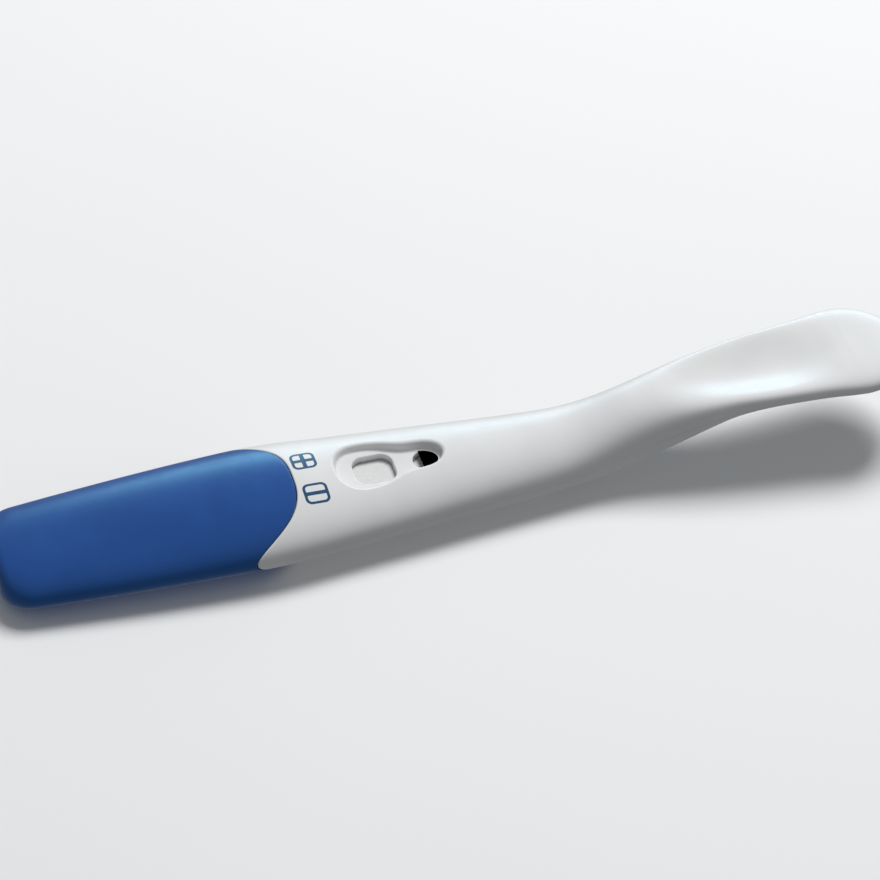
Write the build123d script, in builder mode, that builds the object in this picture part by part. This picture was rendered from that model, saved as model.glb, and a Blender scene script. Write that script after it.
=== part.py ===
from build123d import *
import os

# Midstream pregnancy test, cap on, lying on its flat underside.
# Millimetres. +X runs from the cap tip to the handle end, +Z is up (windows up),
# the origin is the middle of the base of the whole object.
# "Station" below is the distance from the cap tip along the stick.

os.makedirs("parts", exist_ok=True)

# ---------------------------------------------------------------- driving sizes
LENGTH = 142.4            # cap tip to handle end
TAIL_R = 9.3              # radius of the round handle end
TAIL_S = LENGTH - TAIL_R  # station where the round end starts

CAP_WALL = 1.3            # cap wall
CAP_FIT = 0.2             # cap to nose, all round
CAP_TIP_WALL = 1.5
CAP_CORNER_R = 4.6        # plan radius of the two corners at the cap tip
MOUTH_GAP = 0.15          # cap mouth edge to the casing's shoulder

SHELL = 1.6               # casing wall
NOSE_S = 21.0             # nose front face
NOSE_WALL = 1.4

POOL_FLOOR_Z = 7.85       # floor of the result pool
POOL_SKIN_Z = 6.85        # underside of that floor
POOL_S0, POOL_S1 = 51.6, 61.6     # wide part of the pool
POOL_HALF = 5.05
POOL_CORNER = 3.6
SMALL_S, SMALL_POOL_R = 65.9, 3.1
# pool outline, station and half width, from its wide end round to the narrow end
POOL_EDGE = [(51.6, 0.0), (51.85, 2.0), (52.75, 3.65), (54.3, 4.75), (56.4, 5.05), (59.1, 4.68), (61.2, 3.92),
             (62.9, 3.32), (64.9, 3.1), (66.9, 2.72), (68.4, 1.62), (69.0, 0.0)]
WINDOW_S0, WINDOW_S1, WINDOW_HALF, WINDOW_CORNER = 54.9, 61.1, 2.95, 1.9
SMALL_WINDOW_R = 1.85

STRIP_HALF = 3.2          # half width of the test strip
CARD_Z, CARD_T = 6.15, 0.30
MEMBRANE_T, FILM_T = 0.20, 0.10
WICK_S0, WICK_S1 = 8.0, 46.0
WICK_Z0, WICK_Z1, WICK_HALF = 2.9, 5.4, 3.2

PIN_R, PIN_CLEAR, SOCKET_R = 0.9, 0.05, 1.6
PINS = [(32.0, 6.2, 6.4), (50.5, 7.0, 7.3), (70.5, 5.35, 7.6)]   # pairs: station, offset, top
PIN_Z = 3.0
TAIL_PIN = (102.0, 0.0)
PADDLE_PINS = (122.0, 4.2)
TABLET_S, TABLET_R, TABLET_Z0, TABLET_Z1 = 94.0, 3.2, 3.8, 6.4

# station, half width, rim height, underside, parting height, dish depth, squareness above, below
OUTLINE = [
    (0.0,   9.50,  7.40, -0.20,  3.70, 0.0, 0.575, 0.600),
    (11.0, 10.45,  8.00, -0.20,  3.95, 0.0, 0.575, 0.600),
    (22.0, 11.22,  8.60, -0.20,  4.25, 0.0, 0.570, 0.600),
    (32.0, 11.68,  9.15, -0.20,  4.50, 0.0, 0.570, 0.600),
    (40.0, 11.88,  9.50, -0.20,  4.60, 0.0, 0.570, 0.600),
    (46.0, 11.55,  9.60, -0.20,  4.60, 0.0, 0.570, 0.600),
    (52.0, 10.90,  9.45, -0.20,  4.60, 0.0, 0.570, 0.600),
    (58.0, 10.30,  9.45, -0.20,  4.60, 0.0, 0.570, 0.590),
    (64.0,  9.70,  9.50, -0.20,  4.60, 0.0, 0.570, 0.580),
    (70.0,  9.02,  9.50, -0.20,  4.60, 0.0, 0.570, 0.580),
    (76.0,  8.36,  9.50, -0.20,  4.60, 0.0, 0.570, 0.580),
    (82.0,  7.74,  9.53, -0.18,  4.65, 0.0, 0.570, 0.580),
    (88.0,  7.08,  9.85, -0.05,  4.95, 0.0, 0.575, 0.580),
    (93.0,  6.52, 10.95,  0.45,  5.75, 0.0, 0.590, 0.590),
    (98.0,  6.25, 12.40,  1.55,  7.10, 0.0, 0.620, 0.600),
    (103.0, 6.38, 13.50,  3.60,  8.70, 0.25, 0.680, 0.610),
    (108.0, 6.75, 14.02,  6.40, 10.35, 0.95, 0.740, 0.620),
    (113.0, 7.12, 14.22,  9.20, 11.80, 1.45, 0.790, 0.640),
    (118.0, 7.66, 14.34, 10.70, 12.55, 1.55, 0.820, 0.660),
    (123.0, 8.12, 14.60, 11.12, 12.90, 1.40, 0.820, 0.680),
    (128.0, 8.65, 15.02, 11.28, 13.18, 0.80, 0.800, 0.700),
    (131.0, 9.12, 15.28, 11.28, 13.30, 0.35, 0.780, 0.700),
    (TAIL_S, TAIL_R, 15.36, 11.26, 13.33, 0.20, 0.770, 0.700),
]


def px(station):
    return station - LENGTH / 2


def outline(station):
    """Section values at any station, a smooth curve through OUTLINE."""
    rows = OUTLINE
    i = 0
    while i < len(rows) - 2 and station > rows[i + 1][0]:
        i += 1
    a, b = rows[i], rows[i + 1]
    h = b[0] - a[0]
    t = (station - a[0]) / h
    values = []
    for c in range(1, len(a)):
        slope = (b[c] - a[c]) / h
        before = slope if i == 0 else (a[c] - rows[i - 1][c]) / (a[0] - rows[i - 1][0])
        after = slope if i == len(rows) - 2 else (rows[i + 2][c] - b[c]) / (rows[i + 2][0] - b[0])
        m0, m1 = (slope + before) / 2 * h, (slope + after) / 2 * h
        values.append(
            (2 * t**3 - 3 * t**2 + 1) * a[c] + (t**3 - 2 * t**2 + t) * m0
            + (3 * t**2 - 2 * t**3) * b[c] + (t**3 - t**2) * m1
        )
    return values


def quarter(w, z_side, z_rim, dish, k):
    """Control points of a quarter section, from the side (w, z_side) to the middle."""
    h = z_rim - z_side
    c0, c1, c2, c3 = (w, 0), (w, k * h), (k * w, h), (0, h)

    def mix(p, q, f):
        return (p[0] * (1 - f) + q[0] * f, p[1] * (1 - f) + q[1] * f)

    q0, q1, q2, q3, q4 = c0, mix(c0, c1, 0.75), mix(c1, c2, 0.5), mix(c2, c3, 0.25), c3
    r = [q0, mix(q0, q1, 0.8), mix(q1, q2, 0.6), mix(q2, q3, 0.4), mix(q3, q4, 0.2), q4]
    lift = [0, 0, 0.45 * dish, 0.35 * dish, -dish, -dish]
    return [(p[0], z_side + p[1] + e) for p, e in zip(r, lift)]


def section_plane(station):
    return Plane(origin=(px(station), 0, 0), x_dir=(0, 1, 0), z_dir=(1, 0, 0))


def half_curves(station, inset, upper):
    w, rim, under, side, dish, k_up, k_low = outline(station)
    if upper:
        pts = quarter(w - inset, side, rim - inset, dish, k_up)
    else:
        pts = quarter(w - inset, side, under + inset, 0.0, k_low)
    return pts, w - inset, side


def upper_face(station, inset=0.0):
    """Upper half section: curve over the top, straight line along the parting height."""
    pts, w, side = half_curves(station, inset, True)
    with BuildSketch(section_plane(station), mode=Mode.PRIVATE) as face:
        with BuildLine():
            Bezier(*pts)
            Bezier(*[(-y, z) for y, z in reversed(pts)])
            Line((-w, side), (w, side))
        make_face()
    return face.sketch


def lower_face(station, inset=0.0):
    """Lower half section, below the parting height."""
    pts, w, side = half_curves(station, inset, False)
    with BuildSketch(section_plane(station), mode=Mode.PRIVATE) as face:
        with BuildLine():
            Bezier(*pts)
            Bezier(*[(-y, z) for y, z in reversed(pts)])
            Line((-w, side), (w, side))
        make_face()
    return face.sketch


def full_face(station, inset=0.0):
    """Whole section, both halves."""
    up, w, side = half_curves(station, inset, True)
    low, w, side = half_curves(station, inset, False)
    with BuildSketch(section_plane(station), mode=Mode.PRIVATE) as face:
        with BuildLine():
            Bezier(*up)
            Bezier(*[(-y, z) for y, z in reversed(up)])
            Bezier(*[(-y, z) for y, z in low])
            Bezier(*[(y, z) for y, z in reversed(low)])
        make_face()
    return face.sketch


def steps(first, last, spacing):
    count = max(2, round((last - first) / spacing) + 1)
    return [first + (last - first) * i / (count - 1) for i in range(count)]


BODY_STATIONS = steps(32.0, 52.0, 4.0) + steps(58.0, 88.0, 6.0) + steps(91.0, 127.0, 3.0) + [129.5, 131.5, TAIL_S]
CAP_STATIONS = [0.0, 8.0, 16.0, 24.0, 32.0, 40.0, 47.0]
NOSE_STATIONS = [NOSE_S, 27.0, 33.0, 39.0, 44.0, 48.5]

# ---------------------------------------------------------------- cap mouth, seen from above
MOUTH_HALF = [(0.0, 45.30), (3.0, 45.15), (6.0, 44.16), (8.0, 42.65), (9.5, 40.90),
              (10.7, 39.08), (11.6, 37.40), (12.6, 35.30)]


def mouth_points(shift):
    right = [(px(s + shift), y) for y, s in MOUTH_HALF]
    left = [(x, -y) for x, y in reversed(right[1:])]
    return left + right


# everything on the cap's side of the mouth edge
with BuildPart() as cap_side:
    with BuildSketch(Plane.XY.offset(-3)):
        with BuildLine():
            pts = mouth_points(0.0)
            Spline(*pts)
            Polyline(pts[-1], (px(-6), pts[-1][1]), (px(-6), pts[0][1]), pts[0])
        make_face()
    extrude(amount=24)

# the same, moved out by the gap, taken from the casing's outer body
with BuildPart() as cap_side_gap:
    with BuildSketch(Plane.XY.offset(-3)):
        with BuildLine():
            pts = mouth_points(MOUTH_GAP)
            Spline(*pts)
            Polyline(pts[-1], (px(10), pts[-1][1]), (px(10), pts[0][1]), pts[0])
        make_face()
    extrude(amount=24)

# ---------------------------------------------------------------- cap
# plan outline with the two rounded corners at the closed tip
with BuildPart() as cap_plan:
    with BuildSketch(Plane.XY.offset(-1)) as plan:
        with BuildLine():
            Polyline((px(50), -14.2), (px(0), -9.95), (px(0), 9.95), (px(50), 14.2), close=True)
        make_face()
        fillet(plan.vertices().group_by(Axis.X)[0], radius=CAP_CORNER_R)
    extrude(amount=16)

# space inside the cap
with BuildPart() as cap_room:
    loft([full_face(s, CAP_WALL) for s in [CAP_TIP_WALL] + CAP_STATIONS[1:]])
    with BuildSketch(Plane.XY.offset(-1)) as plan:
        with BuildLine():
            Polyline((px(50), -13.0), (px(CAP_TIP_WALL), -8.7), (px(CAP_TIP_WALL), 8.7), (px(50), 13.0), close=True)
        make_face()
        fillet(plan.vertices().group_by(Axis.X)[0], radius=CAP_CORNER_R - CAP_WALL)
    extrude(amount=16, mode=Mode.INTERSECT)

with BuildPart() as cap:
    loft([full_face(s) for s in CAP_STATIONS])
    add(cap_side.part, mode=Mode.INTERSECT)
    add(cap_plan.part, mode=Mode.INTERSECT)
    # rounded edge all round the closed tip
    wall_faces = [f for f in cap.faces() if f.center().X < px(CAP_CORNER_R)]
    tip_edges = [e for f in wall_faces for e in f.edges() if abs(e.center().Z - 3.7) > 0.8]
    fillet(tip_edges, radius=1.5)
    # flat underside
    with BuildSketch(Plane.XY):
        with Locations((px(23), 0)):
            Rectangle(50, 30)
    extrude(amount=-5, mode=Mode.SUBTRACT)
    # inside, open at the mouth
    add(cap_room.part, mode=Mode.SUBTRACT)
cap.part.label = "cap"
export_step(cap.part, "parts/cap.step")

# ---------------------------------------------------------------- casing, shapes shared by both shells
NOSE_INSET = CAP_WALL + CAP_FIT + 1.4
NOSE_CAVITY = [NOSE_S + NOSE_WALL, 28.0, 34.0, 40.0, 45.0, 50.0]
BODY_CAVITY = [47.4, 53.0, 59.0, 65.0, 71.0, 77.0, 83.0, 88.0, 92.0, 96.0, 100.0, 104.0, 107.0, 110.0]

# outer body from under the cap to the round handle end, upper half
with BuildPart() as body_upper:
    loft([upper_face(s) for s in BODY_STATIONS])
    up, w_tail, z_tail = half_curves(TAIL_S, 0.0, True)
    with BuildSketch(section_plane(TAIL_S)):
        with BuildLine():
            Bezier(*up)
            Polyline(up[-1], (0, z_tail), (w_tail, z_tail))
        make_face()
    revolve(axis=Axis((px(TAIL_S), 0, 0), (0, 0, -1)), revolution_arc=180)
    add(cap_side_gap.part, mode=Mode.SUBTRACT)

# the same, lower half, cut flat at the base
with BuildPart() as body_lower:
    loft([lower_face(s) for s in BODY_STATIONS])
    low, w_tail, z_tail = half_curves(TAIL_S, 0.0, False)
    with BuildSketch(section_plane(TAIL_S)):
        with BuildLine():
            Bezier(*low)
            Polyline(low[-1], (0, z_tail), (w_tail, z_tail))
        make_face()
    revolve(axis=Axis((px(TAIL_S), 0, 0), (0, 0, -1)), revolution_arc=180)
    add(cap_side_gap.part, mode=Mode.SUBTRACT)
    with BuildSketch(Plane.XY):
        with Locations((px(64), 0)):
            Rectangle(70, 40)
    extrude(amount=-5, mode=Mode.SUBTRACT)

# nose that the cap slides over, with two low grip ribs on each face
RIB_SPOTS = [(px(34.0), y) for y in (-3.4, 3.4)]
RIB_STATIONS = [28.0, 34.0, 40.0]
with BuildPart() as ribs_upper:
    loft([upper_face(s, CAP_WALL + 0.06) for s in RIB_STATIONS])
    with BuildSketch(Plane.XY.offset(-1)):
        with Locations(*RIB_SPOTS):
            SlotOverall(9.0, 0.9)
    extrude(amount=16, mode=Mode.INTERSECT)
with BuildPart() as ribs_lower:
    loft([lower_face(s, CAP_WALL + 0.06) for s in RIB_STATIONS])
    with BuildSketch(Plane.XY.offset(-1)):
        with Locations(*RIB_SPOTS):
            SlotOverall(9.0, 0.9)
    extrude(amount=16, mode=Mode.INTERSECT)

with BuildPart() as nose_upper:
    loft([upper_face(s, CAP_WALL + CAP_FIT) for s in NOSE_STATIONS])
    fillet(nose_upper.faces().sort_by(Axis.X)[0].edges().filter_by(GeomType.LINE, reverse=True), radius=0.7)
    add(ribs_upper.part)
with BuildPart() as nose_lower:
    loft([lower_face(s, CAP_WALL + CAP_FIT) for s in NOSE_STATIONS])
    fillet(nose_lower.faces().sort_by(Axis.X)[0].edges().filter_by(GeomType.LINE, reverse=True), radius=0.7)
    add(ribs_lower.part)

# space inside the casing, except the skin under the pool
with BuildPart() as cavity:
    loft([full_face(s, SHELL) for s in BODY_CAVITY])
    loft([full_face(s, NOSE_INSET) for s in NOSE_CAVITY])

with BuildPart() as pool_block:
    with BuildSketch(Plane.XY.offset(POOL_SKIN_Z)):
        with Locations((px((POOL_S0 + POOL_S1) / 2), 0)):
            RectangleRounded(POOL_S1 - POOL_S0 + 2.4, 2 * POOL_HALF + 2.4, POOL_CORNER + 1.2)
        with Locations((px(SMALL_S), 0)):
            Circle(SMALL_POOL_R + 1.2)
        with Locations((px(62.8), 0)):
            Rectangle(5.0, 2 * SMALL_POOL_R + 1.6)
    extrude(amount=8)

# recessed result pool with its two windows
with BuildPart() as pool:
    with BuildSketch(Plane.XY.offset(POOL_FLOOR_Z)):
        with BuildLine():
            right = [(px(s), y) for s, y in POOL_EDGE]
            left = [(x, -y) for x, y in reversed(right[1:-1])]
            Spline(*(right + left), periodic=True)
        make_face()
    extrude(amount=6)
    fillet(pool.faces().sort_by(Axis.Z)[0].edges(), radius=0.45)
with BuildPart() as windows:
    with BuildSketch(Plane.XY.offset(POOL_SKIN_Z - 1)):
        with Locations((px((WINDOW_S0 + WINDOW_S1) / 2), 0)):
            RectangleRounded(WINDOW_S1 - WINDOW_S0, 2 * WINDOW_HALF, WINDOW_CORNER)
        with Locations((px(SMALL_S), 0)):
            Circle(SMALL_WINDOW_R)
    extrude(amount=3)

# slot in the nose that the wick comes out of
with BuildPart() as wick_slot:
    with BuildSketch(Plane.YZ.offset(px(NOSE_S) - 2)):
        with Locations((0, (WICK_Z0 + WICK_Z1) / 2)):
            RectangleRounded(2 * WICK_HALF + 0.2, WICK_Z1 - WICK_Z0 + 0.2, 0.6)
    extrude(amount=6)

# room for rails, pads and posts: a little into the floor, a little clear of the walls and roof
def room_face(station, t):
    w, rim, under, side, dish, k_up, k_low = outline(station)
    inset = t + 0.15
    up = quarter(w - inset, side, rim - inset, dish, k_up)
    low = quarter(w - inset, side, under + t - 0.4, 0.0, k_low)
    with BuildSketch(section_plane(station), mode=Mode.PRIVATE) as face:
        with BuildLine():
            Bezier(*up)
            Bezier(*[(-y, z) for y, z in reversed(up)])
            Bezier(*[(-y, z) for y, z in low])
            Bezier(*[(y, z) for y, z in reversed(low)])
        make_face()
    return face.sketch


with BuildPart() as post_room:
    loft([room_face(s, SHELL) for s in BODY_CAVITY])
with BuildPart() as nose_room:
    loft([room_face(s, NOSE_INSET) for s in NOSE_CAVITY[:-1]])

# ---------------------------------------------------------------- upper casing
pin_spots = [(px(s), sign * y) for s, y, top in PINS for sign in (1, -1)]
paddle_spots = [(px(PADDLE_PINS[0]), sign * PADDLE_PINS[1]) for sign in (1, -1)]

# pins hang from the upper shell into the sockets
with BuildPart() as pins:
    for s, y, top in PINS:
        with BuildSketch(Plane.XY.offset(PIN_Z)):
            with Locations((px(s), y), (px(s), -y)):
                Circle(PIN_R)
        extrude(amount=top - PIN_Z)
    with BuildSketch(Plane.XY.offset(6.0)):
        with Locations((px(TAIL_PIN[0]), 0)):
            Circle(PIN_R)
    extrude(amount=6.5)
    with BuildSketch(Plane.XY.offset(12.0)):
        with Locations(*paddle_spots):
            Circle(0.75)
    extrude(amount=1.3)

with BuildPart() as upper_casing:
    add(body_upper.part)
    add(nose_upper.part)
    add(cavity.part.cut(pool_block.part), mode=Mode.SUBTRACT)
    add(wick_slot.part, mode=Mode.SUBTRACT)
    add(pool.part, mode=Mode.SUBTRACT)
    add(windows.part, mode=Mode.SUBTRACT)
    add(pins.part)
upper_casing.part.label = "upper_casing"
export_step(upper_casing.part, "parts/upper_casing.step")

# ---------------------------------------------------------------- lower casing
# what stands on the floor inside the nose: sockets, side rails and cross ribs of the wick
with BuildPart() as nose_posts:
    with BuildSketch(Plane.XY.offset(-1)):
        with Locations(*pin_spots[:2]):
            Circle(SOCKET_R)
    extrude(amount=5.4)
    with BuildSketch(Plane.XY.offset(-1)):
        with Locations(*[(px(33.6), sign * (WICK_HALF + 0.55)) for sign in (1, -1)]):
            Rectangle(22.0, 0.8)
    extrude(amount=5.8)
    with BuildSketch(Plane.XY.offset(-1)):
        with Locations(*[(px(s), 0) for s in (25.0, 31.0, 37.0, 43.0)]):
            Rectangle(1.0, 2 * WICK_HALF + 0.6)
    extrude(amount=1 + WICK_Z0)
    add(nose_room.part, mode=Mode.INTERSECT)

# what stands on the floor of the body: sockets, strip rails, cross ribs, end stop, tablet pocket
with BuildPart() as floor_posts:
    with BuildSketch(Plane.XY.offset(-1)):
        with Locations(*pin_spots[2:]):
            Circle(SOCKET_R)
    extrude(amount=5.45)
    with BuildSketch(Plane.XY):
        with Locations((px(TAIL_PIN[0]), 0)):
            Circle(SOCKET_R)
    extrude(amount=8.2)
    with BuildSketch(Plane.XY.offset(-1)):
        with Locations(*[(px(68.6), sign * (STRIP_HALF + 0.5)) for sign in (1, -1)]):
            Rectangle(40.4, 0.8)
    extrude(amount=1 + CARD_Z + CARD_T)
    with BuildSketch(Plane.XY.offset(-1)):
        with Locations(*[(px(s), 0) for s in (49.5, 57.0, 64.5, 72.0, 79.5, 87.0)]):
            Rectangle(1.0, 2 * STRIP_HALF + 0.6)
    extrude(amount=1 + CARD_Z)
    with BuildSketch(Plane.XY.offset(-1)):
        with Locations((px(88.8), 0)):
            Rectangle(1.0, 2 * STRIP_HALF + 1.8)
    extrude(amount=8.0)
    with BuildSketch(Plane.XY):
        with Locations((px(TABLET_S), 0)):
            Circle(TABLET_R + 1.0)
    extrude(amount=TABLET_Z1 - 0.6)
    with BuildSketch(Plane.XY.offset(TABLET_Z0)):
        with Locations((px(TABLET_S), 0)):
            Circle(TABLET_R + 0.12)
    extrude(amount=6, mode=Mode.SUBTRACT)
    add(post_room.part, mode=Mode.INTERSECT)

with BuildPart() as lower_casing:
    add(body_lower.part)
    add(nose_lower.part)
    add(cavity.part, mode=Mode.SUBTRACT)
    add(wick_slot.part, mode=Mode.SUBTRACT)
    add(nose_posts.part)
    add(floor_posts.part)
    # holes of the sockets
    with BuildSketch(Plane.XY.offset(PIN_Z - 0.1)):
        with Locations(*pin_spots):
            Circle(PIN_R + PIN_CLEAR)
    extrude(amount=5.0, mode=Mode.SUBTRACT)
    with BuildSketch(Plane.XY.offset(5.6)):
        with Locations((px(TAIL_PIN[0]), 0)):
            Circle(PIN_R + PIN_CLEAR)
    extrude(amount=5.0, mode=Mode.SUBTRACT)
    with BuildSketch(Plane.XY.offset(11.9)):
        with Locations(*paddle_spots):
            Circle(0.75 + PIN_CLEAR)
    extrude(amount=3.0, mode=Mode.SUBTRACT)
lower_casing.part.label = "lower_casing"
export_step(lower_casing.part, "parts/lower_casing.step")

# ---------------------------------------------------------------- wick and strip
with BuildPart() as sampler_wick:
    with BuildSketch(Plane.XY.offset(WICK_Z0)) as plan:
        with Locations((px((WICK_S0 + WICK_S1) / 2), 0)):
            Rectangle(WICK_S1 - WICK_S0, 2 * WICK_HALF)
        fillet(plan.vertices().group_by(Axis.X)[0], radius=2.7)
    extrude(amount=WICK_Z1 - WICK_Z0)
    fillet(sampler_wick.faces().sort_by(Axis.Z)[-1].edges(), radius=0.5)
    fillet(sampler_wick.faces().sort_by(Axis.Z)[0].edges(), radius=0.5)
sampler_wick.part.label = "sampler_wick"
export_step(sampler_wick.part, "parts/sampler_wick.step")

CARD_TOP = CARD_Z + CARD_T
MEMBRANE_TOP = CARD_TOP + MEMBRANE_T

with BuildPart() as backing_card:
    with BuildSketch(Plane.XY.offset(CARD_Z)):
        with Locations((px(68.2), 0)):
            Rectangle(39.6, 2 * STRIP_HALF)
    extrude(amount=CARD_T)
backing_card.part.label = "backing_card"
export_step(backing_card.part, "parts/backing_card.step")

with BuildPart() as transfer_pad:
    with BuildSketch(Plane.XY.offset(WICK_Z1)):
        with Locations((px(39.25), 0)):
            Rectangle(11.5, 2 * STRIP_HALF - 0.4)
    extrude(amount=0.5)
transfer_pad.part.label = "transfer_pad"
export_step(transfer_pad.part, "parts/transfer_pad.step")

# the conjugate pad climbs from the transfer pad to the top of the membrane
with BuildPart() as conjugate_pad:
    with BuildSketch(Plane.XZ):
        with BuildLine():
            Polyline((px(41.0), WICK_Z1 + 0.5), (px(46.8), WICK_Z1 + 0.5), (px(48.8), MEMBRANE_TOP),
                     (px(50.3), MEMBRANE_TOP), (px(50.3), MEMBRANE_TOP + 0.35), (px(48.7), MEMBRANE_TOP + 0.35),
                     (px(46.7), WICK_Z1 + 0.85), (px(41.0), WICK_Z1 + 0.85), close=True)
        make_face()
    extrude(amount=STRIP_HALF - 0.2, both=True)
conjugate_pad.part.label = "conjugate_pad"
export_step(conjugate_pad.part, "parts/conjugate_pad.step")

with BuildPart() as test_membrane:
    with BuildSketch(Plane.XY.offset(CARD_TOP)):
        with Locations((px(63.45), 0)):
            Rectangle(29.1, 2 * STRIP_HALF)
    extrude(amount=MEMBRANE_T)
test_membrane.part.label = "test_membrane"
export_step(test_membrane.part, "parts/test_membrane.step")

with BuildPart() as cover_film:
    with BuildSketch(Plane.XY.offset(MEMBRANE_TOP)):
        with Locations((px(63.1), 0)):
            Rectangle(25.2, 2 * STRIP_HALF)
    extrude(amount=FILM_T)
cover_film.part.label = "cover_film"
export_step(cover_film.part, "parts/cover_film.step")

# the sink pad lies on the end of the membrane and on the card behind it
with BuildPart() as sink_pad:
    with BuildSketch(Plane.XZ):
        with BuildLine():
            Polyline((px(75.9), MEMBRANE_TOP), (px(78.0), MEMBRANE_TOP), (px(78.0), CARD_TOP), (px(87.9), CARD_TOP),
                     (px(87.9), 7.25), (px(75.9), 7.25), close=True)
        make_face()
    extrude(amount=STRIP_HALF - 0.1, both=True)
sink_pad.part.label = "sink_pad"
export_step(sink_pad.part, "parts/sink_pad.step")

with BuildPart() as desiccant_tablet:
    with BuildSketch(Plane.XY.offset(TABLET_Z0)):
        with Locations((px(TABLET_S), 0)):
            Circle(TABLET_R)
    extrude(amount=TABLET_Z1 - TABLET_Z0)
    chamfer(desiccant_tablet.edges().filter_by(GeomType.CIRCLE), length=0.35)
desiccant_tablet.part.label = "desiccant_tablet"
export_step(desiccant_tablet.part, "parts/desiccant_tablet.step")

everything = Compound([p.part for p in (cap, upper_casing, lower_casing, sampler_wick, backing_card, transfer_pad,
                                        conjugate_pad, test_membrane, cover_film, sink_pad, desiccant_tablet)])
box = everything.bounding_box()
print("size", box.size, "low", box.min, "high", box.max)
for p in (cap, upper_casing, lower_casing):
    print(p.part.label, "solids", len(p.part.solids()), "volume", round(p.part.volume, 1))
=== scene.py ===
import math

import bmesh
import bpy
import numpy as np
from mathutils import Matrix, Vector
from mathutils.geometry import delaunay_2d_cdt


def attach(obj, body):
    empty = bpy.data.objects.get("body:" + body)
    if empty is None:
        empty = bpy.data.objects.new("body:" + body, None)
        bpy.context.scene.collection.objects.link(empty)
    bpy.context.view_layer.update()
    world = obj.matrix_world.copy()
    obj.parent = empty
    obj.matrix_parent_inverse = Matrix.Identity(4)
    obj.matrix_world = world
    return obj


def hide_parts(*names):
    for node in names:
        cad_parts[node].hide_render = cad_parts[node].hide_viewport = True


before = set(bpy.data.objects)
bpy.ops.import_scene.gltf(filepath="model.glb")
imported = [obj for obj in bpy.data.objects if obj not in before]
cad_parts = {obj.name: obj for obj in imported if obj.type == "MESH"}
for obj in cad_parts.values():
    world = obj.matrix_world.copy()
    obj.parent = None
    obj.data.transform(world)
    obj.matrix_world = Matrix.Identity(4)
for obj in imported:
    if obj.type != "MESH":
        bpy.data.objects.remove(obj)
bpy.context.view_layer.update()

# Looks of a midstream pregnancy test. Lengths below are millimetres and become metres when a mesh is made.
# "Station" is the distance from the cap tip along the stick.
MM = 0.001
LENGTH, TAIL_R = 142.4, 9.3
TAIL_S = LENGTH - TAIL_R
CAP_WALL, CAP_FIT, CAP_TIP_WALL, CAP_CORNER_R = 1.3, 0.2, 1.5, 4.6
MOUTH_GAP = 0.15
SHELL = 1.6
NOSE_S, NOSE_WALL = 21.0, 1.4
POOL_FLOOR_Z, POOL_SKIN_Z = 7.85, 6.85
WICK_S0, WICK_S1, WICK_Z0, WICK_Z1, WICK_HALF = 8.0, 46.0, 2.9, 5.4, 3.2

# station, half width, rim height, underside, parting height, dish depth, squareness above, below
OUTLINE = np.array([
    (0.0, 9.50, 7.40, -0.20, 3.70, 0.0, 0.575, 0.600),
    (11.0, 10.45, 8.00, -0.20, 3.95, 0.0, 0.575, 0.600),
    (22.0, 11.22, 8.60, -0.20, 4.25, 0.0, 0.570, 0.600),
    (32.0, 11.68, 9.15, -0.20, 4.50, 0.0, 0.570, 0.600),
    (40.0, 11.88, 9.50, -0.20, 4.60, 0.0, 0.570, 0.600),
    (46.0, 11.55, 9.60, -0.20, 4.60, 0.0, 0.570, 0.600),
    (52.0, 10.90, 9.45, -0.20, 4.60, 0.0, 0.570, 0.600),
    (58.0, 10.30, 9.45, -0.20, 4.60, 0.0, 0.570, 0.590),
    (64.0, 9.70, 9.50, -0.20, 4.60, 0.0, 0.570, 0.580),
    (70.0, 9.02, 9.50, -0.20, 4.60, 0.0, 0.570, 0.580),
    (76.0, 8.36, 9.50, -0.20, 4.60, 0.0, 0.570, 0.580),
    (82.0, 7.74, 9.53, -0.18, 4.65, 0.0, 0.570, 0.580),
    (88.0, 7.08, 9.85, -0.05, 4.95, 0.0, 0.575, 0.580),
    (93.0, 6.52, 10.95, 0.45, 5.75, 0.0, 0.590, 0.590),
    (98.0, 6.25, 12.40, 1.55, 7.10, 0.0, 0.620, 0.600),
    (103.0, 6.38, 13.50, 3.60, 8.70, 0.25, 0.680, 0.610),
    (108.0, 6.75, 14.02, 6.40, 10.35, 0.95, 0.740, 0.620),
    (113.0, 7.12, 14.22, 9.20, 11.80, 1.45, 0.790, 0.640),
    (118.0, 7.66, 14.34, 10.70, 12.55, 1.55, 0.820, 0.660),
    (123.0, 8.12, 14.60, 11.12, 12.90, 1.40, 0.820, 0.680),
    (128.0, 8.65, 15.02, 11.28, 13.18, 0.80, 0.800, 0.700),
    (131.0, 9.12, 15.28, 11.28, 13.30, 0.35, 0.780, 0.700),
    (TAIL_S, TAIL_R, 15.36, 11.26, 13.33, 0.20, 0.770, 0.700),
])
# outline of the result pool: station and half width, from its wide end to the narrow end
POOL_EDGE = [(51.6, 0.0), (51.85, 2.0), (52.75, 3.65), (54.3, 4.75), (56.4, 5.05), (59.1, 4.68), (61.2, 3.92),
             (62.9, 3.32), (64.9, 3.1), (66.9, 2.72), (68.4, 1.62), (69.0, 0.0)]
# half of the cap's mouth edge from above: offset and station
MOUTH_HALF = [(0.0, 45.30), (3.0, 45.15), (6.0, 44.16), (8.0, 42.65), (9.5, 40.90), (10.7, 39.08), (11.6, 37.40),
              (12.6, 35.30)]


def px(station):
    return np.asarray(station, float) - LENGTH / 2


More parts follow.
